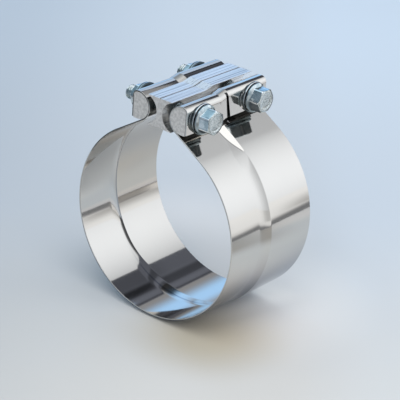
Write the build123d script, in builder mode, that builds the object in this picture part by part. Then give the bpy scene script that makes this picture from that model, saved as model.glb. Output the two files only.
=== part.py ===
from build123d import *
import os
from math import acos, atan2, degrees, hypot, radians, sqrt, tan

os.makedirs("parts", exist_ok=True)

# Exhaust seal clamp for a stepped lap joint, in millimetres.
# The pipe axis is the Y axis, with Y = 0 at the foot of the step between the two pipe seats.
# The small pipe enters from -Y and the large pipe from +Y.
# The bars, the reaction block and the bolts stand over the ring at +Z, with the bolt heads at +X.

# Pipe joint and sheet
small_pipe_radius = 63.5
pipe_step = 1.75
sheet = 1.0
band_width = 77.0
small_seat_length = 32.0

# Joggle that steps the band, the bars and the block up from the small pipe to the large one
step_slope = 14.0

# Bars inside the ends of the band
bar_radius = 8.8
bar_straight = 0.4
bar_apex = 9.0
bar_lift = 11.9
bar_corner_radius = 3.0
bar_edge_radius = 0.8
bar_fit = 0.05

# Flaps of the band, each with one slit that opens towards its free edge
flap_short = 0.6
slit_top = 10.1
slit_top_width = 1.5
slit_bottom_width = 3.0
slit_shift = 2.15
slit_lean = 10.9

# Reaction block between the bars
block_neck = 2.25
block_tip = 0.3
block_nest = 0.05
block_over = 0.05
seam_chamfer = 0.45
block_hole_fit = 0.35

# Bolts, 3/8-16, one through each half of the clamp
bolt_inset = 13.9
thread_radius = 4.7625
bolt_length = 61.3
tip_chamfer = 1.1
bolt_hole_radius = 5.5
head_height = 9.9
small_end_turn = 33.0
large_end_turn = 12.0

# Hexagon and flange that the heads and the nuts share
hex_size = 14.3
hex_face_radius = 6.9
hex_chamfer_angle = 30.0
flange_radius = 9.6
flange_rim = 1.8
flange_rise = 2.9

# Nuts and washers
nut_height = 6.3
nut_turn = 8.0
nut_bore_fit = 0.06
washer_radius = 10.1
washer_thickness = 1.6
washer_hole_radius = 5.2

# Worked out from the sizes above
near_rim = -small_seat_length
far_rim = band_width - small_seat_length
bolt_rows = [near_rim + bolt_inset, far_rim - bolt_inset]
bar_height = small_pipe_radius + bar_lift
bend_inner = bar_radius + bar_fit
bend_outer = bend_inner + sheet
corner_inner = bar_corner_radius + bar_fit
corner_outer = corner_inner + sheet
bar_centre_x = bar_apex + bar_radius
corner_x = bar_centre_x + bar_straight
bar_face = corner_x + bar_corner_radius
flap_inner_face = bar_face + bar_fit
flap_face = flap_inner_face + sheet
flap_drop = bar_radius - flap_short
concave_radius = bend_outer + block_nest
block_half_height = bend_outer + block_over
block_hole_radius = thread_radius + block_hole_fit
step_run = pipe_step / tan(radians(step_slope))
stations = [near_rim, 0.0, step_run, far_rim]


def rise(y):
    """Height of the joggle at y: none on the small seat, a straight ramp, then the whole step."""
    return pipe_step * min(max(y / step_run, 0.0), 1.0)


def across(y):
    """Plane across the pipe axis at y, with X to the right and Z up."""
    return Plane.XZ.offset(-y)


def band_section(y):
    """The whole sheet cut at y: round the pipe, round each bar and down its flat face."""
    inner = small_pipe_radius + rise(y)
    outer = inner + sheet
    centre_z = bar_height + rise(y)
    leave = atan2(bar_centre_x, centre_z) + acos((inner + bend_outer) / hypot(bar_centre_x, centre_z))
    ring_end = 90 - degrees(leave)
    wrap_start = 180 + ring_end
    wrap_centre = (bar_centre_x, centre_z)
    corner_centre = (corner_x, centre_z + bar_radius - bar_corner_radius)
    flap_end = centre_z - flap_drop
    with BuildSketch(across(y)) as section:
        with BuildLine():
            bore = CenterArc((0, 0), inner, -90, 90 + ring_end)
            bend = CenterArc(wrap_centre, bend_outer, wrap_start, 90 - wrap_start)
            corner = CenterArc(corner_centre, corner_outer, 90, -90)
            flap = Line(corner @ 1, (flap_face, flap_end))
            edge = Line(flap @ 1, (flap_inner_face, flap_end))
            inside = CenterArc(corner_centre, corner_inner, 0, 90)
            seat = CenterArc(wrap_centre, bend_inner, 90, wrap_start - 90)
            skin = CenterArc((0, 0), outer, ring_end, -90 - ring_end)
            Line(bore @ 1, bend @ 0)
            Line(bend @ 1, corner @ 0)
            Line(edge @ 1, inside @ 0)
            Line(inside @ 1, seat @ 0)
            Line(seat @ 1, skin @ 0)
            Line(skin @ 1, bore @ 0)
        make_face()
        mirror(about=Plane.YZ)
    return section.sketch


def bar_section(y):
    """The head side bar at y: a D with a round back, one large corner and a flat face."""
    centre_z = bar_height + rise(y)
    top = centre_z + bar_radius
    bottom = centre_z - bar_radius
    edge_x = bar_face - bar_edge_radius
    with BuildSketch(across(y)) as section:
        with BuildLine():
            back = CenterArc((bar_centre_x, centre_z), bar_radius, 90, 180)
            base = Line(back @ 1, (edge_x, bottom))
            edge = CenterArc((edge_x, bottom + bar_edge_radius), bar_edge_radius, 270, 90)
            corner = CenterArc((corner_x, top - bar_corner_radius), bar_corner_radius, 0, 90)
            Line(edge @ 1, corner @ 0)
            Line(corner @ 1, back @ 0)
        make_face()
    return section.sketch


def block_half_section(y):
    """Head side half of the block at y, hollowed to nest on the bar and arched over the pipe."""
    centre_z = bar_height + rise(y)
    top = centre_z + block_half_height
    bottom = centre_z - block_half_height
    concave_x = block_neck + concave_radius
    reach = block_half_height - block_tip
    tip_x = concave_x - sqrt(concave_radius**2 - reach**2)
    swing = degrees(atan2(reach, concave_x - tip_x))
    arch = hypot(tip_x, bar_height - block_half_height)
    with BuildSketch(across(y)) as section:
        with BuildLine():
            side = CenterArc((concave_x, centre_z), concave_radius, 180 - swing, 2 * swing)
            tip = Line(side @ 1, (tip_x, bottom))
            seam = Line((0, arch + rise(y)), (0, top - seam_chamfer))
            RadiusArc(tip @ 1, seam @ 0, arch)
            Polyline(seam @ 1, (seam_chamfer, top), (tip_x, top), side @ 0)
        make_face()
    return section.sketch


def drill(radius):
    """Circles of one radius at both bolts, on the plane of symmetry, as a tool for cutting."""
    with BuildSketch(Plane.YZ) as holes:
        for y in bolt_rows:
            with Locations((y, bar_height + rise(y))):
                Circle(radius)
    return holes.sketch


def flanged_hexagon(place, height, turn):
    """Hexagon with a round flange at its foot, standing on a plane and turned about its axis."""
    side = Plane(origin=place.origin, x_dir=place.x_dir, z_dir=-place.y_dir)
    axis = Axis(place.origin, place.z_dir)
    chamfer_drop = (flange_radius - hex_face_radius) * tan(radians(hex_chamfer_angle))
    with BuildPart() as piece:
        with BuildSketch(place):
            RegularPolygon(hex_size / 2, 6, major_radius=False, rotation=turn)
        extrude(amount=height)
        with BuildSketch(side):
            with BuildLine():
                blank = Polyline((0, height), (0, 0), (flange_radius, 0), (flange_radius, height - chamfer_drop))
                Polyline(blank @ 1, (hex_face_radius, height), blank @ 0)
            make_face()
        revolve(axis=axis, mode=Mode.INTERSECT)
        with BuildSketch(side):
            with BuildLine():
                foot = Polyline((0, flange_rise), (0, 0), (flange_radius, 0), (flange_radius, flange_rim))
                Polyline(foot @ 1, (hex_size / 2, flange_rise), foot @ 0)
            make_face()
        revolve(axis=axis)
    return piece.part


def washer_on(place):
    """Flat round washer standing on a plane."""
    with BuildPart() as washer:
        with BuildSketch(place):
            Circle(washer_radius)
            Circle(washer_hole_radius, mode=Mode.SUBTRACT)
        extrude(amount=washer_thickness)
    return washer.part


drill_reach = flap_face + sheet

# Band: one sheet with a stepped ring and both ends wrapped round the bars, slit at each flap
slit_axis_y = step_run / 2 + slit_shift
slit_bottom = bar_height - flap_drop - pipe_step
slit_run = (slit_top + flap_drop + pipe_step) * tan(radians(slit_lean))

with BuildPart() as band:
    loft([band_section(y) for y in stations], ruled=True)
    extrude(drill(bolt_hole_radius), amount=drill_reach, both=True, mode=Mode.SUBTRACT)
    with BuildSketch(Plane.YZ.offset(corner_x + bar_corner_radius / 2)) as slit:
        with BuildLine():
            top = Line(
                (slit_axis_y - slit_top_width / 2, bar_height + slit_top),
                (slit_axis_y + slit_top_width / 2, bar_height + slit_top),
            )
            foot = Line(
                (slit_axis_y + slit_run + slit_bottom_width / 2, slit_bottom),
                (slit_axis_y + slit_run - slit_bottom_width / 2, slit_bottom),
            )
            Line(top @ 1, foot @ 0)
            Line(foot @ 1, top @ 0)
        make_face()
    one_slit = extrude(amount=drill_reach, mode=Mode.SUBTRACT)
    mirror(one_slit, about=Plane.YZ, mode=Mode.SUBTRACT)
band.part.label = "band"
export_step(band.part, "parts/band.step")

# Bars: D section, as long as the band is wide, with the same joggle
with BuildPart() as head_side_bar:
    loft([bar_section(y) for y in stations], ruled=True)
    extrude(drill(bolt_hole_radius), amount=drill_reach, both=True, mode=Mode.SUBTRACT)
head_side_bar.part.label = "head_side_bar"
export_step(head_side_bar.part, "parts/head_side_bar.step")

with BuildPart() as nut_side_bar:
    mirror(head_side_bar.part, about=Plane.YZ)
nut_side_bar.part.label = "nut_side_bar"
export_step(nut_side_bar.part, "parts/nut_side_bar.step")

# Reaction block: two halves back to back, with a small groove along the top of the seam
with BuildPart() as head_side_block_half:
    loft([block_half_section(y) for y in stations], ruled=True)
    extrude(drill(block_hole_radius), amount=drill_reach, mode=Mode.SUBTRACT)
head_side_block_half.part.label = "head_side_block_half"
export_step(head_side_block_half.part, "parts/head_side_block_half.step")

with BuildPart() as nut_side_block_half:
    mirror(head_side_block_half.part, about=Plane.YZ)
nut_side_block_half.part.label = "nut_side_block_half"
export_step(nut_side_block_half.part, "parts/nut_side_block_half.step")

# Fasteners of each end: a flange bolt and a washer at the heads, a washer and a flange nut opposite
for end, y, turn in zip(("small_end", "large_end"), bolt_rows, (small_end_turn, large_end_turn)):
    z = bar_height + rise(y)
    head_side = Plane(origin=(flap_face, y, z), x_dir=(0, 1, 0), z_dir=(1, 0, 0))
    nut_side = Plane(origin=(-flap_face, y, z), x_dir=(0, 1, 0), z_dir=(-1, 0, 0))
    head_seat = head_side.offset(washer_thickness)
    nut_seat = nut_side.offset(washer_thickness)

    with BuildPart() as bolt:
        add(flanged_hexagon(head_seat, head_height, turn))
        with BuildSketch(head_seat):
            Circle(thread_radius)
        extrude(amount=-bolt_length)
        chamfer(bolt.faces().sort_by(Axis.X)[0].edges(), tip_chamfer)
    bolt.part.label = end + "_bolt"
    export_step(bolt.part, "parts/" + end + "_bolt.step")

    with BuildPart() as nut:
        add(flanged_hexagon(nut_seat, nut_height, nut_turn))
        with BuildSketch(nut_seat):
            Circle(thread_radius + nut_bore_fit)
        extrude(amount=nut_height, mode=Mode.SUBTRACT)
    nut.part.label = end + "_nut"
    export_step(nut.part, "parts/" + end + "_nut.step")

    with BuildPart() as head_washer:
        add(washer_on(head_side))
    head_washer.part.label = end + "_head_washer"
    export_step(head_washer.part, "parts/" + end + "_head_washer.step")

    with BuildPart() as nut_washer:
        add(washer_on(nut_side))
    nut_washer.part.label = end + "_nut_washer"
    export_step(nut_washer.part, "parts/" + end + "_nut_washer.step")
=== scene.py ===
"""Exhaust seal clamp, dressed for its picture: a polished stepped band, drawn bars and zinc plated fasteners."""

import bpy
import numpy as np
from mathutils import Matrix, Vector


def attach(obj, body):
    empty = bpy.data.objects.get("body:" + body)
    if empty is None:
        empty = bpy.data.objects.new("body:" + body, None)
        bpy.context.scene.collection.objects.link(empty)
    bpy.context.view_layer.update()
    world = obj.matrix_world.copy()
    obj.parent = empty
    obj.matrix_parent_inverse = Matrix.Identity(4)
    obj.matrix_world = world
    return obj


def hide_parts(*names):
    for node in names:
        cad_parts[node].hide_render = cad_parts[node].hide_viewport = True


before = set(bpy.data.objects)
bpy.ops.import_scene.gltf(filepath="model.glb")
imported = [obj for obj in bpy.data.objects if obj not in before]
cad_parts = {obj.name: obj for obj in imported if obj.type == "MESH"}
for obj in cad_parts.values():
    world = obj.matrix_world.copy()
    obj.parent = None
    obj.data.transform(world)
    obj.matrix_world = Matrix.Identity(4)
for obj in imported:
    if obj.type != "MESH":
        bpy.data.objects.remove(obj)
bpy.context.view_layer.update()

MM = 0.001
MM_PER_METRE = 1000.0
DEGREES_PER_RADIAN = float(180 / np.pi)

# ---------------------------------------------------------------- sizes, in millimetres
small_pipe_radius = 63.5
pipe_step = 1.75
sheet = 1.0
near_rim = -32.0
far_rim = 45.0
step_slope = np.radians(14.0)
step_run = pipe_step / np.tan(step_slope)
rim_round = 0.22

bar_radius = 8.8
bar_apex = 9.0
bar_straight = 0.4
bar_corner = 3.0
bar_fit = 0.05
bar_height = 75.4
bar_centre_x = bar_apex + bar_radius
corner_x = bar_centre_x + bar_straight
flap_inner_face = corner_x + bar_corner + bar_fit
flap_face = flap_inner_face + sheet
flap_drop = 8.2

slit_top = 10.1
slit_top_width = 1.5
slit_bottom_width = 3.0
slit_axis_y = step_run / 2 + 2.15
slit_lean = np.radians(10.9)
slit_past_edge = 1.0
slit_length = slit_top + flap_drop + pipe_step + slit_past_edge

bolt_rows = (-18.1, 31.1)
bolt_hole_radius = 5.5
thread_radius = 4.7625
thread_pitch = 1.5875
thread_depth = 0.9
bolt_length = 61.3
washer_radius = 10.1
washer_bore = 5.2
washer_thickness = 1.6
hex_apothem = 7.15
flange_radius = 9.6
flange_shoulder = 1.8
head_height = 9.9
nut_height = 6.3

# The turn of each hexagon about its bolt, in degrees.
head_turns = (-1.0, 28.0)
nut_turn = 22.0

# The blade's fold starts this many degrees above the tangent point, at the blade's foot.
fold_above_tangent = 11.6
fold_foot_y = -0.7
fold_crest_y = 4.2

# How many stations the sheet's middle line has on the ring, the straight run, the bar's back, its corner and the flap.
ring_stations = 131
run_stations = 12
back_stations = 49
corner_stations = 13
flap_stations = 5


# ---------------------------------------------------------------- shapes


def make_piece(name, points, faces, material, smooth=True, round_shading=True):
    """A mesh piece from an array of points in millimetres and an array of faces that point outwards."""
    mesh = bpy.data.meshes.new(name)
    mesh.from_pydata((points * MM).tolist(), [], [tuple(face) for face in faces])
    mesh.update()
    mesh.validate()
    if smooth:
        mesh.shade_smooth()
    else:
        mesh.shade_flat()
    piece = bpy.data.objects.new(name, mesh)
    bpy.context.scene.collection.objects.link(piece)
    mesh.materials.append(material)
    if round_shading:
        weigh = piece.modifiers.new("even_normals", "WEIGHTED_NORMAL")
        weigh.keep_sharp = True
    return piece


def flat_quad(name, corners, material):
    """One flat face with these four corners."""
    return make_piece(name, np.array(corners), np.array([[0, 1, 2, 3]]), material, smooth=False, round_shading=False)


def net(rows, columns, close_rows, close_columns):
    """Quads between neighbours of a grid of points, rows by columns, closed round either way."""
    i = np.arange(rows if close_rows else rows - 1)
    j = np.arange(columns if close_columns else columns - 1)
    i, j = np.meshgrid(i, j, indexing="ij")
    after_i, after_j = (i + 1) % rows, (j + 1) % columns
    corners = [i * columns + j, after_i * columns + j, after_i * columns + after_j, i * columns + after_j]
    return np.stack([c.ravel() for c in corners], axis=1)


def smaller(a, b, round_over):
    """The smaller of two lengths, rounded over where they meet."""
    return (a + b - np.sqrt((a - b) ** 2 + round_over**2)) / 2


def direction(angle):
    """Unit vectors in the plane across the pipe, at angles from the side of the heads upwards."""
    return np.stack([np.cos(angle), np.sin(angle)], axis=-1)


def ramp(way, bend):
    """Height of the joggle at a part of the way from its foot to its crest: the step times a power of it.

    The foot is a soft start of the way, and the crest is rounded over only a little.
    """
    foot_round, crest_round = 0.06, 0.05
    soft_way = (way + np.sqrt(way**2 + foot_round**2)) / 2
    return smaller(pipe_step * soft_way**bend, pipe_step, crest_round)


def rise(y):
    """Height of the joggle at y where the sheet wraps the bars: a straight ramp from 0 to the end of the step."""
    return ramp(y / step_run, 1.0)


def eased(value, low, high):
    """Rises smoothly from 0 at low to 1 at high."""
    part = np.clip((value - low) / (high - low), 0, 1)
    return part * part * (3 - 2 * part)


def fold_reach(turned):
    """How far along the pipe the blade's fold has run at an angle from its start: a parabola of the degrees."""
    return turned * (turned * 0.0152 + 0.0193)


def joggle_rows(way):
    """Rows across the joggle, as y and height, for each of its five forms down the ring.

    The sheet was pressed. On the bars the joggle is a straight ramp. Beside them it is a short steep
    blade, cut off along a crease that runs from its foot to its crest, with a gentle slope on the near
    side of the crease. The ring's side has a cove, and its bottom a longer one. The first three forms
    are kinked: y and height run straight between the values at a few parts of the way.
    """
    kinks, inner_kinks = [-1.0, 0.0, 0.5, 1.0, 2.0], [0.0, 0.5, 1.0]
    bar_y = np.interp(way, kinks, [-6.0, -0.5, 0.0, step_run, 12.0])
    bar_rise = np.interp(way, inner_kinks, [0.0, 0.0, pipe_step])
    blade_y = np.interp(way, kinks, [-6.0, -1.2, fold_foot_y, 5.2, 10.2])
    fan_y = np.interp(way, kinks, [-14.0, -5.0, fold_crest_y, 4.6, 14.0])
    fan_rise = np.interp(way, inner_kinks, [0.0, pipe_step - 0.06, pipe_step])
    cove_y, bottom_y = -5.0 + 9.7 * way, -5.0 + 12.0 * way
    heights = [bar_rise, bar_rise, fan_rise, ramp(way, 2.0), ramp(way, 1.2)]
    return np.array([bar_y, blade_y, fan_y, cove_y, bottom_y]), np.array(heights)


def band_path(y, height):
    """Middle line of the sheet for each row across it, head side half, and the unit vectors to the bar's face.

    It runs round the pipe from the bottom to the tangent point, straight over to the bar, round the
    back of the bar, over its top and round its corner, and down the flat face to the flap's edge. y and
    height hold each row's place and height for the five forms of the joggle, which follow each other
    down the straight run and the ring: the angle below the tangent point says how much of each there is.
    """
    ring = small_pipe_radius + sheet / 2
    bend = np.full_like(y[0], bar_radius + bar_fit + sheet / 2)
    corner = np.full_like(y[0], bar_corner + bar_fit + sheet / 2)
    centre_z = bar_height + height[0]
    far = np.hypot(bar_centre_x, centre_z)
    leave = np.pi / 2 - np.arctan2(bar_centre_x, centre_z) - np.arccos((ring + height[0] + bend) / far)
    bar_centre = np.stack([np.full_like(leave, bar_centre_x), centre_z], axis=-1)
    away = direction(leave)
    touch, meet = (ring + height[0])[:, None] * away, bar_centre - bend[:, None] * away
    turn = -np.pi / 2 + (leave[:, None] + np.pi / 2) * np.linspace(0, 1, ring_stations)
    run = touch[:, None] + (meet - touch)[:, None] * np.linspace(0, 1, run_stations + 2)[1:-1, None]

    below = np.degrees(leave[:, None] - np.concatenate([turn, np.arctan2(run[..., 1], run[..., 0])], axis=1))
    blade = eased(below, -17.0, -12.0)
    reach = fold_reach(np.maximum(below + fold_above_tangent, 0))
    fan = np.minimum(reach / (fold_crest_y - fold_foot_y), 1) * blade
    cove, bottom = eased(below, 6.0, 18.0), eased(below, 95.0, 130.0)
    parts = np.stack([1 - blade, blade - fan, fan - cove, cove - bottom, bottom])
    ring_y = np.sum(parts * y[:, :, None], axis=0)
    lift = np.sum(parts * height[:, :, None], axis=0)

    outwards = direction(turn)
    run_side = np.broadcast_to(away[:, None], run.shape)
    round_ring = (ring + lift[:, :ring_stations])[..., None] * outwards
    along_run = run + (lift[:, ring_stations:] - height[0][:, None])[..., None] * run_side
    lines, sides = [round_ring, along_run], [outwards, run_side]

    corner_centre = np.stack([np.full_like(leave, corner_x), centre_z + bar_radius - bar_corner], axis=-1)
    top = np.full_like(leave, np.pi / 2)
    for centre, radius, first, last, count in (
        (bar_centre, bend, np.pi + leave, top, back_stations),
        (corner_centre, corner, top, 0 * leave, corner_stations),
    ):
        angle = first[:, None] + (last - first)[:, None] * np.linspace(0, 1, count)
        lines.append(centre[:, None] + radius[:, None, None] * direction(angle))
        sides.append(-direction(angle))

    drop = np.linspace(0, 1, flap_stations + 1)[1:]
    face_x = np.full((len(leave), flap_stations), flap_inner_face + sheet / 2)
    corner_end, edge = lines[-1][:, -1, 1], centre_z - flap_drop
    flap = np.stack([face_x, corner_end[:, None] + (edge - corner_end)[:, None] * drop], axis=-1)
    lines.append(flap)
    sides.append(np.broadcast_to([-1.0, 0.0], flap.shape))
    bar_y = np.broadcast_to(y[0][:, None], (len(leave), back_stations + corner_stations + flap_stations))
    return np.concatenate([ring_y, bar_y], axis=1), np.concatenate(lines, axis=1), np.concatenate(sides, axis=1)


def rounded_rim(half, radius, steps=4):
    """Half a turn round the rim of the sheet: how far beyond the flat of it, and how far from its middle."""
    turn = np.linspace(0, np.pi / 2, steps + 1)
    beyond = np.concatenate([radius * np.sin(turn), radius * np.cos(turn)])
    offset = np.concatenate([half - radius + radius * np.cos(turn), -(half - radius) - radius * np.sin(turn)])
    return beyond - radius, offset


def polished_band(material):
    """The whole band: a loop of rows over the sheet's face, round its rim and back, carried along its middle line.

    The rows lie close together at the kinks of the joggle, and two more stand on the flat at each side of it.
    """
    way = np.array([-0.6, -0.3, -0.16, -0.08, -0.03, 0.02, 0.07, 0.14, 0.22, 0.32, 0.42, 0.48, 0.5, 0.52, 0.58, 0.66,
                    0.74, 0.82, 0.9, 0.95, 0.98, 1.0, 1.015, 1.03, 1.05, 1.09, 1.15, 1.3])
    near_flat, far_flat = [-24.0, -14.0], [20.0, 33.0]
    place, height = joggle_rows(way)
    forms = (len(place), 1)
    beyond, offset = rounded_rim(sheet / 2, rim_round)
    face_y = np.concatenate([np.tile(near_flat, forms), place, np.tile(far_flat, forms)], axis=1)
    face_height = np.concatenate([np.tile([0.0, 0.0], forms), height, np.tile([pipe_step, pipe_step], forms)], axis=1)
    far_y, near_y = np.tile(far_rim + beyond, forms), np.tile(near_rim - beyond, forms)
    y = np.concatenate([face_y, far_y, face_y[:, ::-1], near_y], axis=1)
    rim = np.ones_like(far_y)
    rows_height = np.concatenate([face_height, rim * pipe_step, face_height[:, ::-1], rim * 0.0], axis=1)
    outer = np.full(face_y.shape[1], sheet / 2)
    thick = np.concatenate([outer, offset, -outer, -offset])

    row_y, line, side = band_path(y, rows_height)
    head_half = line + side * thick[:, None, None]
    whole = np.concatenate([head_half[:, :0:-1] * [-1.0, 1.0], head_half], axis=1)
    whole_y = np.concatenate([row_y[:, :0:-1], row_y], axis=1)
    rows, columns = whole_y.shape
    points = np.stack([whole[..., 0], whole_y, whole[..., 1]], axis=-1)
    faces = net(rows, columns, True, False).tolist()
    head_end, nut_end = np.arange(rows) * columns, (np.arange(rows) * columns + columns - 1)[::-1]
    return make_piece("polished_band", points.reshape(-1, 3), faces + [head_end.tolist(), nut_end.tolist()], material)


def turned(name, x, radius, place, material, facing=1.0, close=False, around=144):
    """A turned shape: a profile of distances along the bolt's axis and radii, carried round that axis.

    radius may also be an array with one column for each angle, for a hexagon or a thread.
    """
    angle = 2 * np.pi * np.arange(around) / around
    radius = np.broadcast_to(radius if np.ndim(radius) == 2 else np.asarray(radius)[:, None], (len(x), around))
    along = np.broadcast_to(x if np.ndim(x) == 2 else np.asarray(x)[:, None], (len(x), around))
    points = np.stack([
        place[0] + facing * along,
        place[1] + radius * np.cos(angle),
        place[2] + radius * np.sin(angle),
    ], axis=-1)
    faces = net(len(x), around, close, True)
    if facing < 0:
        faces = faces[:, ::-1]
    return make_piece(name, points.reshape(-1, 3), faces, material)


def hexagon(turn, around, apothem, sharpness=40):
    """Distance from the middle to the side of a hexagon at each angle, with its corners a little rounded."""
    angle = 2 * np.pi * np.arange(around) / around - turn
    sides = np.maximum(np.cos(angle[None] - np.pi / 3 * np.arange(6)[:, None]), 0.0)
    return apothem / np.sum(sides**sharpness, axis=0) ** (1 / sharpness)


# ---------------------------------------------------------------- finishes


def paint(red, green, blue):
    """A colour for a socket."""
    return (red, green, blue, 1.0)


WHITE = paint(1.0, 1.0, 1.0)
BLACK = paint(0.0, 0.0, 0.0)


class Shade:
    """A socket of a material's nodes, with the plain operators of arithmetic."""

    def __init__(self, tree, socket=None):
        self.tree = tree
        self.socket = socket

    def node(self, kind, settings=None, inputs=None, output=0):
        """Adds a node of a type, makes its settings, fills its sockets with values or links, and gives one output."""
        made = self.tree.nodes.new(kind)
        for name, value in (settings or {}).items():
            setattr(made, name, value)
        for name, value in (inputs or {}).items():
            if isinstance(value, Shade):
                self.tree.links.new(value.socket, made.inputs[name])
            else:
                made.inputs[name].default_value = value
        return Shade(self.tree, made.outputs[output])

    def math(self, operation, *values):
        """Adds a Math node for an operation on these values."""
        return self.node("ShaderNodeMath", {"operation": operation}, dict(enumerate(values)))

    def __add__(self, other):
        return self.math("ADD", self, other)

    __radd__ = __add__

    def __sub__(self, other):
        return self.math("SUBTRACT", self, other)

    def __rsub__(self, other):
        return self.math("SUBTRACT", other, self)

    def __mul__(self, other):
        return self.math("MULTIPLY", self, other)

    __rmul__ = __mul__

    def __truediv__(self, other):
        return self.math("DIVIDE", self, other)

    def __abs__(self):
        return self.math("ABSOLUTE", self)

    def capped(self, most):
        """The smaller of this and a limit."""
        return self.math("MINIMUM", self, most)

    def step(self, low, high):
        """Rises smoothly from 0 at low to 1 at high."""
        return self.node("ShaderNodeMapRange", {"interpolation_type": "SMOOTHSTEP"}, {0: self, 1: low, 2: high})

    def between(self, start, full, fading, end):
        """Rises smoothly from 0 at start to 1 at full, and falls again from 1 at fading to 0 at end."""
        return self.step(start, full) * (1.0 - self.step(fading, end))

    def mix(self, first, second):
        """The first colour where this is 0 and the second where it is 1."""
        return self.node("ShaderNodeMix", {"data_type": "RGBA"}, {0: self, 6: first, 7: second}, 2)

    def tinted(self, other):
        """This colour times another."""
        times = {"data_type": "RGBA", "blend_type": "MULTIPLY"}
        return self.node("ShaderNodeMix", times, {0: 1.0, 6: self, 7: other}, 2)

    def noise(self, scale, detail, roughness=0.5):
        """Cloudy noise at this place, of a scale in blotches to the metre."""
        settings = {"Vector": self, "Scale": scale, "Detail": detail, "Roughness": roughness}
        return self.node("ShaderNodeTexNoise", None, settings)

    def stretched(self, scale):
        """This place, scaled along each axis."""
        return self.node("ShaderNodeMapping", None, {"Vector": self, "Scale": scale})

    def parts(self):
        """The three numbers of this vector."""
        outputs = self.node("ShaderNodeSeparateXYZ", None, {0: self}).socket.node.outputs
        return [Shade(self.tree, outputs[k]) for k in range(3)]

    def millimetres(self):
        """The three numbers of this place, in millimetres."""
        return [part * MM_PER_METRE for part in self.parts()]


def length(a, b):
    """Length of a vector with these two parts, at right angles."""
    square = a * a + b * b
    return square.math("SQRT", square)


def angle_of(up, along):
    """Angle in radians of the vector with these two parts, from the second towards the first."""
    return up.math("ARCTAN2", up, along)


def object_place(tree):
    """The place on the object, in metres."""
    return Shade(tree).node("ShaderNodeTexCoord", output=3)


def new_finish(name):
    """An empty material with its principled shader, and the place on the object."""
    material = bpy.data.materials.new(name)
    material.use_nodes = True
    shader = material.node_tree.nodes["Principled BSDF"]
    return material, shader, object_place(material.node_tree)


def feed(shader, name, value):
    """Links or sets one socket of the shader."""
    if isinstance(value, Shade):
        value.tree.links.new(value.socket, shader.inputs[name])
    else:
        shader.inputs[name].default_value = value


def bumped(height, strength, distance, **more):
    """The surface's normal, bumped by a height."""
    return height.node("ShaderNodeBump", None, {"Strength": strength, "Distance": distance, "Height": height, **more})


def painted_fold_and_slit_shade(x, y, z):
    """Painted shade on the sheet: a fine dark line along the blade's fold, and shade in the gap behind the slit.

    Angles are in degrees up from the side of the heads or of the nuts.
    """
    tangent_point = 57.9
    around = angle_of(z, abs(x)) * DEGREES_PER_RADIAN
    from_fold = y - fold_foot_y - fold_reach(tangent_point + fold_above_tangent - around)
    # Painted dark line along the blade's fold.
    fold = (1.0 - abs(from_fold).step(0.25, 0.55)) * around.between(52.5, 54.5, 68.0, 71.0)
    # Painted shade in the gap behind the slit.
    gap = abs(x).between(13.0, 14.0, 21.0, 21.6) * y.between(8.0, 10.0, 17.0, 19.0) * z.between(59.0, 60.0, 66.0, 66.5)
    return (fold * 0.6 + gap * 0.9).capped(0.95)


def cut_edge_shade(x, y, z):
    """Painted shade where the flap's sheet is cut: the walls of its slit and its lower edge."""
    down = bar_height + slit_top - z
    from_slit = y - slit_axis_y - down * float(np.tan(slit_lean))
    slit_half = (down * ((slit_bottom_width - slit_top_width) / slit_length) + slit_top_width) * 0.5
    walls = (1.0 - (abs(from_slit) - slit_half).step(0.22, 0.32)) * down.step(-0.3, -0.2)
    above_edge = z - y.step(0.0, step_run) * pipe_step - (bar_height - flap_drop)
    lower_edge = 1.0 - above_edge.step(0.1, 0.2)
    on_flap = abs(x).step(corner_x + 1.4, corner_x + 1.5) * above_edge.step(-2.2, -2.0)
    return (walls + lower_edge).capped(1.0) * on_flap


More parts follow.
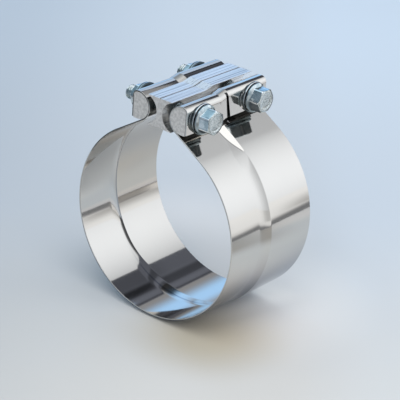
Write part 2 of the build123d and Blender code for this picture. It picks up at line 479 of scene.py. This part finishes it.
def polished_stainless():
    """Mirror polished sheet with faint rolling lines round it.

    It has painted shade inside the ring, deeper towards the bars, a painted warm reflection inside the ring on the
    large half's side, and painted bluish shade outside towards the ring's foot. There are painted dark lines in the
    crease inside the joggle and along the blade's fold, and painted shade in the gap behind the slit, on the cut edges
    and, faintly, on the wraps beside the block.
    """
    material, shader, place = new_finish("polished_stainless")
    lines = place.stretched((30.0, 4000.0, 30.0)).noise(1.0, 3.0)
    x, y, z = place.millimetres()
    radius = length(x, z)
    large_face = small_pipe_radius + pipe_step
    on_large_half = y.step(-1.0, 5.0)
    inside_ring = 1.0 - (radius - on_large_half * pipe_step).step(63.8, 64.2)

    steel = place.noise(40.0, 2.0).mix(paint(0.65, 0.625, 0.59), paint(0.68, 0.655, 0.61))
    # Painted shade inside the ring, deeper towards the bars.
    inner_shade = inside_ring * (z.step(5.0, 35.0) * 0.38 + 0.07)
    # Painted warm reflection inside the ring on the large half's side.
    warm_reflection = inside_ring * on_large_half * z.between(-22.0, -8.0, 5.0, 25.0) * 0.4
    # Painted bluish shade outside, towards the ring's foot.
    foot_shade = (1.0 - inside_ring) * (1.0 - z.step(-48.0, -4.0)) * 0.8
    tint = inner_shade.mix(steel, paint(0.22, 0.205, 0.185))
    tint = warm_reflection.mix(tint, paint(0.70, 0.57, 0.42))
    tint = foot_shade.mix(tint, paint(0.0, 0.05, 0.14))

    # Painted shade: a dark line in the crease inside the joggle.
    crease = y.between(2.4, 4.2, 4.7, 5.0) * z.step(-56.0, -34.0)
    crease = crease * (1.0 - radius.step(large_face + 0.1, large_face + 0.3))
    # Painted faint shade on the wraps next to the block.
    shade_beside_block = abs(x).between(8.5, 9.5, 12.5, 14.0) * z.step(79.0, 81.0) * 0.26
    tint = crease.mix(tint, paint(0.34, 0.335, 0.33))
    # Painted shade along the blade's fold and behind the slit.
    tint = painted_fold_and_slit_shade(x, y, z).mix(tint, paint(0.12, 0.12, 0.125))
    # Painted shade on the cut edges and, faintly, on the wraps next to the block.
    tint = (cut_edge_shade(x, y, z) + shade_beside_block).mix(tint, paint(0.05, 0.05, 0.05))

    feed(shader, "Base Color", tint)
    feed(shader, "Metallic", 1.0)
    feed(shader, "Roughness", lines * 0.04 + 0.05)
    feed(shader, "Normal", bumped(lines, 0.02, 0.0002))
    return material


def drawn_steel():
    """Drawn bar with fine lines along it, and sawn, matte, mottled ends.

    It has painted shade where the sheet hides its face, in the seam between the block's halves and under the bars.
    """
    material, shader, place = new_finish("drawn_steel")
    x, y, z = place.millimetres()
    middle, half = (near_rim + far_rim) / 2, (far_rim - near_rim) / 2
    at_end = abs(y - middle).step(half - 0.2, half - 0.1)
    fine = place.stretched((2500.0, 20.0, 2500.0)).noise(1.0, 4.0)
    broad = place.stretched((900.0, 9.0, 900.0)).noise(1.0, 3.0)
    lines = broad * 0.6 + fine * 0.4
    mottle = place.noise(600.0, 5.0, 0.6)
    drawn = lines.step(0.38, 0.52).mix(paint(0.58, 0.56, 0.55), paint(0.97, 0.95, 0.93))
    sawn = mottle.step(0.35, 0.65).mix(paint(0.50, 0.475, 0.455), paint(0.66, 0.63, 0.605))

    dark = paint(0.03, 0.03, 0.03)
    # Painted shade on the bar's face where the sheet hides it.
    shade_under_sheet = abs(x).step(flap_inner_face - 0.15, flap_inner_face - 0.1)
    # Painted shade in the seam between the block's halves.
    seam = (1.0 - abs(x).step(0.2, 0.45)) * (1.0 - at_end)
    # Painted shade on the bars' lower part.
    low = 1.0 - (z - y.step(0.0, step_run) * pipe_step).step(70.0, 71.5)
    shade_under_bars = low * abs(x).step(9.0, 10.0)
    along = (shade_under_bars + seam + shade_under_sheet).capped(1.0).mix(drawn, dark)
    feed(shader, "Base Color", (shade_under_sheet + seam).capped(1.0).mix(at_end.mix(along, sawn), dark))
    feed(shader, "Metallic", 1.0 - at_end * 0.5)
    feed(shader, "Roughness", at_end * 0.2 + lines * 0.12 + 0.3)
    soft_edge = place.node("ShaderNodeBevel", {"samples": 4}, {"Radius": 0.0003})
    feed(shader, "Normal", bumped(lines + mottle * at_end, 0.25, 0.0001, Normal=soft_edge))
    return material


def zinc_plate():
    """Bright zinc with a cool passivated tint, cloudy in places, with painted shade on the hexagon's low side, which
    is also made less metallic.

    The hexagon's corners and the top of the washer's rim have painted white highlights. The washers and the flange's
    foot have painted shade, and so do the sides next to the corners, the cone's lower part and the far side of the
    face's rim. The stamped face is speckled. Each is found from the bolt's axis, the height over the flap and the turn
    round the axis.
    """
    material, shader, place = new_finish("zinc_plate")
    bright, deep, shaded_zinc = paint(0.70, 0.76, 0.77), paint(0.44, 0.53, 0.56), paint(0.132, 0.159, 0.168)
    cloud = place.noise(180.0, 4.0)
    grain = place.noise(2500.0, 3.0)
    x, y, z = place.millimetres()
    large_end = y.step(6.0, 7.0)
    head_side = x.step(-1.0, 1.0)
    above_flap = abs(x) - flap_face
    off_y = y - bolt_rows[0] - large_end * (bolt_rows[1] - bolt_rows[0])
    off_z = z - bar_height - large_end * pipe_step

    small_turn, large_turn, back_turn = [float(np.radians(turn)) for turn in (head_turns[0], head_turns[1], nut_turn)]
    hex_turn = head_side * (large_end * (large_turn - small_turn) + (small_turn - back_turn)) + back_turn
    around = (angle_of(off_z, off_y) - hex_turn) * 6.0
    side_wave = around.math("COSINE", around)
    under_face = 1.0 - above_flap.step(11.0, 11.1)
    on_hex = above_flap.step(4.0, 4.6) * under_face
    # Painted white highlight on the hexagon's corners.
    corner = (1.0 - side_wave.step(-0.98, -0.90)) * on_hex
    # Painted shade on the sides next to the corners.
    beside = side_wave.between(-0.94, -0.86, -0.70, -0.20) * on_hex * 0.35
    stamped = above_flap.step(11.05, 11.15) * 0.8
    # Painted shade on the lower part of the flange's cone.
    cone = (1.0 - above_flap.step(4.0, 4.8)) * (1.0 - off_z.step(-1.0, 5.0)) * 0.65
    # Painted shade on the hexagon's low side, which is also made less metallic.
    low_side_shade = (1.0 - (off_z - large_end * 3.6).step(-4.6, -3.4)) * above_flap.step(3.6, 4.2) * under_face
    # Painted shade on the far side of the face's rim.
    far_rim_shade = above_flap.step(10.4, 10.7) * length(off_y, off_z).step(5.8, 6.2) * (off_y - off_z * 0.3).step(1.0, 4.0)
    # Painted white highlight on the top of the washer's rim.
    rim = above_flap.between(0.9, 1.1, 1.5, 1.6) * off_z.step(-5.0, 5.0) * 0.8

    speckle = place.noise(1100.0, 3.0).step(0.40, 0.60).mix(paint(0.70, 0.74, 0.72), paint(0.40, 0.44, 0.44))
    tint = cloud.step(0.42, 0.58).mix(bright, deep)
    tint = corner.mix(tint, WHITE)
    tint = beside.mix(tint, paint(0.16, 0.19, 0.22))
    tint = stamped.mix(tint, speckle)
    tint = cone.mix(tint, paint(0.16, 0.20, 0.22))
    tint = (low_side_shade * 0.85 + far_rim_shade * 0.7).capped(0.9).mix(tint, paint(0.035, 0.04, 0.045))
    # Painted shade on the washers and the flange's foot.
    tint = above_flap.step(2.5, 3.3).mix(shaded_zinc, tint)
    feed(shader, "Base Color", rim.mix(tint, WHITE))
    feed(shader, "Metallic", 1.0 - low_side_shade * 0.9)
    feed(shader, "Specular IOR Level", 0.0)
    feed(shader, "Roughness", cloud * 0.12 + grain * 0.06 + 0.08)
    feed(shader, "Normal", bumped(grain, 0.15, 0.00005))
    return material


stainless = polished_stainless()
drawn = drawn_steel()
zinc = zinc_plate()


# ---------------------------------------------------------------- band


def cut(piece, tools):
    """Takes the tools' solids away from the piece and keeps the result as its mesh."""
    for tool in tools:
        taking = piece.modifiers.new("cut", "BOOLEAN")
        taking.object = tool
        taking.operation = "DIFFERENCE"
        taking.solver = "EXACT"
        piece.modifiers.move(len(piece.modifiers) - 1, 0)
    seen = piece.evaluated_get(bpy.context.evaluated_depsgraph_get())
    done = bpy.data.meshes.new_from_object(seen)
    piece.modifiers.clear()
    piece.data = done
    for tool in tools:
        bpy.data.objects.remove(tool)


def prism(name, outline, low, high):
    """A tool with a flat outline of (y, z) points, carried from low to high along the bolts' axis."""
    outline = np.asarray(outline)
    count = len(outline)
    points = np.concatenate([np.column_stack([np.full(count, x), outline]) for x in (low, high)])
    mesh = bpy.data.meshes.new(name)
    sides = net(2, count, False, True).tolist()
    caps = [list(range(count)), list(range(2 * count - 1, count - 1, -1))]
    mesh.from_pydata((points * MM).tolist(), [], sides + caps)
    mesh.update()
    tool = bpy.data.objects.new(name, mesh)
    bpy.context.scene.collection.objects.link(tool)
    return tool


def drill(name, y, radius, reach):
    """A round tool on the axis of the bolt at y."""
    sides = 64
    angle = 2 * np.pi * np.arange(sides) / sides
    z = bar_height + rise(np.array(y))
    return prism(name, np.column_stack([y + radius * np.cos(angle), z + radius * np.sin(angle)]), -reach, reach)


band = polished_band(stainless)
slit_foot = bar_height - flap_drop - pipe_step - slit_past_edge
slit_head = bar_height + slit_top
slit_reach = (slit_head - slit_foot) * np.tan(slit_lean)
slit_outline = [
    (slit_axis_y - slit_top_width / 2, slit_head),
    (slit_axis_y + slit_top_width / 2, slit_head),
    (slit_axis_y + slit_reach + slit_bottom_width / 2, slit_foot),
    (slit_axis_y + slit_reach - slit_bottom_width / 2, slit_foot),
]
slit_start = corner_x + bar_corner / 2
tool_end = flap_face + 1
cut(band, [
    prism("head_slit", slit_outline, slit_start, tool_end),
    prism("nut_slit", slit_outline, -tool_end, -slit_start),
    drill("small_end_drill", bolt_rows[0], bolt_hole_radius, tool_end),
    drill("large_end_drill", bolt_rows[1], bolt_hole_radius, tool_end),
])
band.data.set_sharp_from_angle(angle=np.radians(40))
band.modifiers.new("even_normals", "WEIGHTED_NORMAL").keep_sharp = True
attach(band, "clamp")
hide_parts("band")

# ---------------------------------------------------------------- bars and block

for node in ("head_side_bar", "nut_side_bar", "head_side_block_half", "nut_side_block_half"):
    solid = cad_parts[node]
    solid.data.materials.clear()
    solid.data.materials.append(drawn)

# ---------------------------------------------------------------- fasteners


def hexagon_rows(height, sides):
    """Rows of a hexagon on its flange, from the chamfered edge of its face down to the flange's underside.

    The side is the hexagon cut back by a 30 degree cone at the face, and runs out into the cone of
    the flange with a small fillet. The flange has a rounded rim and an undercut foot.
    """
    drops = np.array([0.0, 0.08, 0.18, 0.3, 0.45, 0.6, 0.8, 1.1])
    rises = np.array([4.2, 3.6, 3.2, 3.0, 2.85, 2.7, 2.55, 2.4, 2.2, 2.0, 1.9])
    face_radius, chamfer_round = 6.9, 0.12
    cone_inset, cone_slope, fillet = 0.12, 2.23, 0.5
    x = np.concatenate([height - drops, rises])[:, None]
    chamfer = face_radius + (height - x) / np.tan(np.radians(30))
    cone = flange_radius - cone_inset - (x - flange_shoulder) * cone_slope
    side = smaller(sides[None], chamfer, chamfer_round)
    side = -smaller(-side, -cone, fillet)
    rim_x = np.array([flange_shoulder, 1.72, 1.6, 0.75, 0.62, 0.52, 0.3, 0.0])
    rim_r = flange_radius - np.array([0.1, 0.03, 0.0, 0.0, 0.03, 0.1, 0.45, 0.95])
    around = sides.shape[0]
    x = np.concatenate([np.broadcast_to(x, side.shape), np.tile(rim_x[:, None], around)])
    return x, np.concatenate([side, np.tile(rim_r[:, None], around)])


def flange_bolt(name, place, turn, material, around=144):
    """Flange bolt: a dished face, the hexagon on its flange, and a shank whose thread is a helix.

    The thread's radius is the root plus the depth times a flat-topped wave of the distance along
    the bolt less the lead times the part of a turn, and fades out under the head and at the tip.
    """
    angle = np.arange(around) / around
    face_x = head_height + np.array([-0.3, -0.3, -0.3, -0.25, -0.05, 0.0])
    face_r = np.array([0.0, 2.5, 4.6, 4.9, 5.3, 5.6])
    side_x, side_r = hexagon_rows(head_height, hexagon(turn, around, hex_apothem))

    thread_start, tip, rows_per_turn = -6.0, -bolt_length, 12
    flank_steepness, root_width = 1.3, 0.15
    run_out, run_in, depth_at_tip = 2.0, 1.5, 0.25
    tip_radius, tip_slope, tip_round, tip_face_radius = 3.65, 1.05, 0.1, 3.0
    rows = np.linspace(thread_start, tip, 1 + round((thread_start - tip) / thread_pitch * rows_per_turn))
    phase = np.abs(2 * np.mod(rows[:, None] / thread_pitch - angle, 1.0) - 1)
    height = np.clip(flank_steepness * phase - root_width, 0, 1)
    from_tip = rows[:, None] - tip
    fade = np.clip((thread_start - rows) / run_out, 0, 1)[:, None] * np.clip(from_tip / run_in + depth_at_tip, 0, 1)
    thread = thread_radius - 0.01 - thread_depth * (1 - height) * fade
    thread = smaller(thread, tip_radius + tip_slope * from_tip, tip_round)
    x = np.concatenate([
        np.tile(face_x[:, None], around), side_x,
        np.tile([[0.0], [-0.4]], around), np.tile(rows[:, None], around), np.full((2, around), tip),
    ])
    radius = np.concatenate([
        np.tile(face_r[:, None], around), side_r,
        np.tile([[thread_radius + 0.35], [thread_radius - 0.02]], around), thread,
        np.full((1, around), tip_face_radius), np.zeros((1, around)),
    ])
    return turned(name, x, radius, place, material, around=around)


def flange_nut(name, place, turn, material, around=144):
    """Flange nut: the same hexagon and flange round a bore with a countersink at each end."""
    face_radius = 6.3
    bore_x = np.array([0.0, 0.5, nut_height - 0.6, nut_height])
    bore_r = thread_radius + 0.06 + np.array([0.5, 0.0, 0.0, 0.6])
    side_x, side_r = hexagon_rows(nut_height, hexagon(turn, around, hex_apothem))
    x = np.concatenate([np.tile(bore_x[:, None], around), np.full((1, around), nut_height), side_x])
    radius = np.concatenate([np.tile(bore_r[:, None], around), np.full((1, around), face_radius), side_r])
    return turned(name, x, radius, place, material, facing=-1.0, close=True, around=around)


def flat_washer(name, place, facing, material):
    """Stamped washer: one rim rounded by the punch, the other left sharper with a small burr break."""
    bore, rim, top = washer_bore, washer_radius, washer_thickness
    profile = np.array([
        (0.25, bore), (top - 0.2, bore), (top - 0.06, bore + 0.06), (top, bore + 0.2),
        (top, rim - 0.4), (top - 0.1, rim - 0.12), (top - 0.35, rim), (0.3, rim),
        (0.08, rim - 0.08), (0.0, rim - 0.3), (0.0, bore + 0.2), (0.06, bore + 0.06),
    ])
    return turned(name, profile[:, 0], profile[:, 1], place, material, facing=facing, close=True, around=128)


def finish_fastener(piece, node, body):
    """Puts a fastener on its body in the place of its plain solid."""
    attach(piece, body)
    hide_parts(node)


head_seat = flap_face + washer_thickness
for end, row, head_turn in zip(("small_end", "large_end"), bolt_rows, np.radians(head_turns)):
    z = bar_height + float(rise(np.array(row)))
    bolt = flange_bolt(end + "_flange_bolt", (head_seat, row, z), head_turn, zinc)
    finish_fastener(bolt, end + "_bolt", end + "_bolt")
    nut = flange_nut(end + "_flange_nut", (-head_seat, row, z), np.radians(nut_turn), zinc)
    finish_fastener(nut, end + "_nut", "clamp")
    head_washer = flat_washer(end + "_flat_washer", (flap_face, row, z), 1.0, zinc)
    finish_fastener(head_washer, end + "_head_washer", end + "_washer")
    nut_washer = flat_washer(end + "_back_washer", (-flap_face, row, z), -1.0, zinc)
    finish_fastener(nut_washer, end + "_nut_washer", "clamp")

# ---------------------------------------------------------------- floor, studio and camera


def spot(x, y, centre, full, end):
    """1 within a distance of a place on the floor, and 0 beyond a longer one."""
    return 1.0 - length(x - centre[0], y - centre[1]).step(full, end)


def pale_floor():
    """Plain pale floor that stands under the large half of the ring, cool far away, where the cool tone is painted
    sheen, and warm near the clamp.

    ahead runs away from the camera and across to its right. The floor has painted shade at the left and in the near
    right corner, and painted light to the right. There is painted light where the polished ring throws light on it,
    inside, behind and at its foot, and a yellowish painted shadow close in front of the ring.
    """
    material, shader, place = new_finish("pale_floor")
    x, y, _ = place.millimetres()
    ahead, across = y * 0.78 - x * 0.62, x * 0.78 + y * 0.62
    wavering = ahead + place.noise(30.0, 3.0) * 60.0
    near_tone = wavering.step(-120.0, 230.0).mix(paint(0.535, 0.52, 0.50), paint(0.50, 0.522, 0.553))
    # The cool tone far away is painted sheen.
    tone = ahead.step(150.0, 600.0).mix(near_tone, paint(0.553, 0.597, 0.650))

    # Painted light to the right, and painted shade at the left and in the near right corner.
    far_right = across.step(230.0, 300.0) * ahead.step(-20.0, 20.0)
    near_right = across.step(150.0, 220.0) * (1.0 - ahead.step(-40.0, 40.0))
    shade = across.step(60.0, 130.0).mix(WHITE, far_right.mix(paint(1.03, 1.06, 1.09), paint(1.25, 1.20, 1.18)))
    shade = across.step(-210.0, 20.0).mix(paint(0.78, 0.80, 0.82), shade)
    shade = near_right.mix(shade, paint(0.62, 0.60, 0.58))

    # Painted light where the polished ring throws light on the floor, inside, behind and at its foot.
    from_foot = x - y * 0.27 - 17.0
    beside_foot = from_foot.between(-25.0, -10.0, 6.0, 26.0) * y.between(-30.0, 5.0, 38.0, 72.0)
    painted_ring_light = spot(x, y, (22.0, 38.0), 25.0, 105.0).mix(WHITE, paint(1.26, 1.24, 1.22))
    painted_ring_light = spot(x, y, (-66.0, 88.0), 10.0, 100.0).mix(painted_ring_light, paint(1.26, 1.20, 1.15))
    painted_ring_light = beside_foot.mix(painted_ring_light, paint(1.75, 1.70, 1.62))
    # Painted yellowish shadow close in front of the ring.
    warm = spot(x, y, (45.0, -25.0), 8.0, 62.0).mix(WHITE, paint(0.79, 0.72, 0.59))
    feed(shader, "Base Color", tone.tinted(shade).tinted(painted_ring_light).tinted(warm))
    feed(shader, "Specular IOR Level", 0.2)
    feed(shader, "Roughness", 0.5)

    side, clearance = 1500.0, 0.02
    ground = -(small_pipe_radius + pipe_step + sheet) - clearance
    corners = [[-side, -side, ground], [side, -side, ground], [side, side, ground], [-side, side, ground]]
    return flat_quad("floor", corners, material)


pale_floor()


def studio():
    """The studio round the clamp: panels that run along its axis, each at its own angle about that axis.

    The angle is 0 straight up and 90 degrees at the side of the bolt heads, and y is 1 straight along
    the pipe towards its large end. There is one wide soft panel on the side of the heads, brightest in
    its middle, and a blue panel and a patch of sky on the side of the nuts. The far end is dark. Towards
    the near end the light falls to half, and a pale panel hangs over it. The camera sees a plain pale
    backdrop in their place.
    """
    world = bpy.data.worlds.new("studio")
    bpy.context.scene.world = world
    world.use_nodes = True
    start = Shade(world.node_tree)
    x, y, z = start.node("ShaderNodeTexCoord").parts()
    angle = angle_of(x, z) * DEGREES_PER_RADIAN

    key = angle.between(-10.0, 15.0, 120.0, 150.0)
    key_middle, key_reach, key_peak = 58.5, 76.0, 1.34
    from_middle = (angle - key_middle) / key_reach
    key_light = (1.0 - from_middle * from_middle) * key_peak
    far_end = (y - angle.step(-40.0, 20.0) * 0.15).step(0.755, 0.80) * angle.step(-64.0, -50.0)
    nearer = 1.0 - y.step(0.0, 0.66)
    strength = (key * key_light + (1.0 - key)) * (1.0 - far_end * 0.9) * (1.0 - nearer * 0.5)
    blue = angle.between(-94.0, -66.0, -60.0, -38.0)
    sky_patch = angle.between(-60.0, -52.0, -34.0, -26.0) * y.between(0.44, 0.47, 0.52, 0.60)
    colour = blue.mix(paint(0.36, 0.37, 0.395), paint(0.55, 0.92, 1.42))
    colour = sky_patch.mix(colour, paint(0.40, 0.60, 0.86))
    colour = key.mix(colour, paint(0.95, 1.0, 1.07))

    over_near_end = (1.0 - y.step(0.34, 0.46)) * (1.0 - (angle + y * 24.0).step(28.5, 32.5))
    over_near_end = over_near_end * angle.step(-110.0, -90.0)
    near_colour = angle.step(-38.0, 4.0).mix(paint(0.54, 0.76, 0.92), paint(1.50, 1.55, 1.61))
    around = start.node("ShaderNodeBackground", None, {"Color": colour, "Strength": strength})
    over = start.node("ShaderNodeBackground", None, {"Color": near_colour, "Strength": 1.0})
    glow = start.node("ShaderNodeMixShader", None, {0: over_near_end, 1: around, 2: over})
    plain = start.node("ShaderNodeBackground", None, {"Color": paint(0.80, 0.85, 0.92), "Strength": 1.0})
    camera_ray = start.node("ShaderNodeLightPath")
    whole = start.node("ShaderNodeMixShader", None, {0: camera_ray, 1: glow, 2: plain})
    world.node_tree.links.new(whole.socket, world.node_tree.nodes["World Output"].inputs["Surface"])


def studio_card(name, corners, colour):
    """A card that only polished metal sees: four corners, and its colour as a function of the place on it."""
    material = bpy.data.materials.new(name)
    material.use_nodes = True
    tree = material.node_tree
    place = object_place(tree)
    glow = place.node("ShaderNodeEmission", None, {"Color": colour(place.millimetres()), "Strength": 1.0})
    tree.links.new(glow.socket, tree.nodes["Material Output"].inputs["Surface"])
    card = flat_quad(name, corners, material)
    card.visible_camera = False
    card.visible_diffuse = False
    card.visible_shadow = False


def overhead(place):
    """Dark blue-grey overhead card: darker over the ring, in a seam and in a trough with a thin line, and near by."""
    x, y, _ = place
    over_ring = x.step(-90.0, -55.0) * 0.04
    seam = x.between(-262.0, -246.0, -246.0, -215.0) * 0.11
    trough = x.between(-190.0, -130.0, -100.0, -65.0) * 0.11
    line = x.between(-156.0, -152.0, -150.0, -146.0) * 0.05
    near = (1.0 - y.step(325.0, 360.0)) * x.step(-160.0, -130.0) * 0.045
    grey = 0.18 - over_ring - seam - trough - line - near
    return grey.mix(BLACK, paint(0.95, 1.04, 1.30))


def rail(place):
    """Rail at the floor's edge, pale over a dark foot.

    The foot deepens away from the camera, up to a stretch that is grey with darker edges. Beyond that
    stretch it is a thin line.
    """
    _, y, z = place
    deep = (z - y * 0.13).step(-81.0, -58.0).mix(paint(0.24, 0.25, 0.27), paint(0.95, 0.97, 1.0))
    edges = 1.0 - z.between(-61.0, -58.0, -33.0, -30.0)
    grey = edges.mix(paint(0.40, 0.40, 0.40), paint(0.24, 0.24, 0.25))
    thin = z.step(-61.0, -57.0).mix(paint(0.34, 0.35, 0.37), paint(0.90, 0.91, 0.92))
    return y.step(350.0, 360.0).mix(y.step(296.0, 312.0).mix(deep, grey), thin)


def bright_panel(place):
    """White panel behind the rail, a little brighter higher up, and grey near the camera and low down far off."""
    _, y, z = place
    white = z.step(-40.0, 60.0).mix(paint(1.05, 1.08, 1.12), paint(1.16, 1.19, 1.23))
    low = y.step(230.0, 290.0) * (1.0 - z.step(-25.0, 32.0))
    return y.step(100.0, 205.0).mix(paint(0.66, 0.68, 0.70), low.mix(white, paint(0.60, 0.61, 0.62)))


def camera_side(place):
    """Dark room on the camera's side, lighter towards the floor, and nearly black low down beyond the nuts."""
    x, _, z = place
    room = z.step(-40.0, 50.0).mix(paint(0.60, 0.68, 0.77), paint(0.30, 0.355, 0.42))
    high = z.step(120.0, 200.0)
    dark = (1.0 - x.step(-150.0, -118.0)) * (1.0 - high)
    return dark.mix(high.mix(room, paint(0.17, 0.215, 0.26)), paint(0.08, 0.085, 0.09))


def soft_strip(place):
    """Pale strip low over the block, which lights its drawn top.

    Its card has one corner cut back, so that the ring's inside doesn't mirror it.
    """
    x, _, _ = place
    return x.step(-130.0, -60.0).mix(paint(0.46, 0.62, 0.88), paint(0.64, 0.80, 1.06))


def upright_card(name, start, end, low, high, colour):
    """An upright card on the floor from one place to another, each an (x, y)."""
    (ax, ay), (bx, by) = start, end
    studio_card(name, [[ax, ay, low], [bx, by, low], [bx, by, high], [ax, ay, high]], colour)


card_foot, rail_top, panel_top, room_top = -66, -26, 44, 300
studio_card("overhead_card", [[-262, 215, 300], [42, 215, 300], [42, 1200, 300], [-262, 1200, 300]], overhead)
edge_path = [(270, 900), (270, 200), (352, 158), (430, 50), (470, -60)]
for number, (far, near) in enumerate(zip(edge_path, edge_path[1:])):
    upright_card(f"floor_rail_{number}", near, far, card_foot, rail_top, rail)
    behind = [(place[0] + 6, place[1] + 4) for place in (near, far)]
    upright_card(f"bright_panel_{number}", *behind, card_foot, panel_top, bright_panel)
studio_card("soft_strip", [[-130, 50, 150], [-50, 50, 150], [-50, 132, 150], [-130, 182, 150]], soft_strip)
upright_card("camera_side", (-700, -200), (420, -200), card_foot, room_top, camera_side)
studio()


def key_lamp():
    """A warm square lamp over the near side, turned to the clamp, that polished steel doesn't mirror."""
    lamp = bpy.data.lights.new("key", "AREA")
    lamp.shape = "SQUARE"
    lamp.size = 1.2
    lamp.energy = 9.5
    lamp.color = (1.0, 0.97, 0.93)
    holder = bpy.data.objects.new("key", lamp)
    bpy.context.scene.collection.objects.link(holder)
    place = Vector((0.55, -0.5, 1.05))
    holder.location = place
    holder.rotation_euler = (-place).to_track_quat("-Z", "Y").to_euler()
    holder.visible_glossy = False


key_lamp()


def photo_camera():
    """Long lens camera above the near rim on the side of the bolt heads, with the photograph's roll."""
    place = (0.62121, -0.764876, 0.465694)
    yaw, pitch, roll = np.radians([38.579, 24.943, 4.048])
    right = np.array([np.cos(yaw), np.sin(yaw), 0.0])
    ahead = np.array([-np.sin(yaw) * np.cos(pitch), np.cos(yaw) * np.cos(pitch), -np.sin(pitch)])
    up = np.cross(right, ahead)
    across = np.cos(roll) * right + np.sin(roll) * up
    upright = -np.sin(roll) * right + np.cos(roll) * up
    lens = bpy.data.cameras.new("photo_camera")
    lens.sensor_width = 36.0
    lens.lens = 152.07
    lens.clip_start, lens.clip_end = 0.05, 20.0
    camera = bpy.data.objects.new("photo_camera", lens)
    bpy.context.scene.collection.objects.link(camera)
    turn = Matrix(np.column_stack([across, upright, -ahead]).tolist()).to_4x4()
    camera.matrix_world = Matrix.Translation(place) @ turn
    bpy.context.scene.camera = camera


photo_camera()
bpy.context.scene.view_settings.view_transform = "Standard"
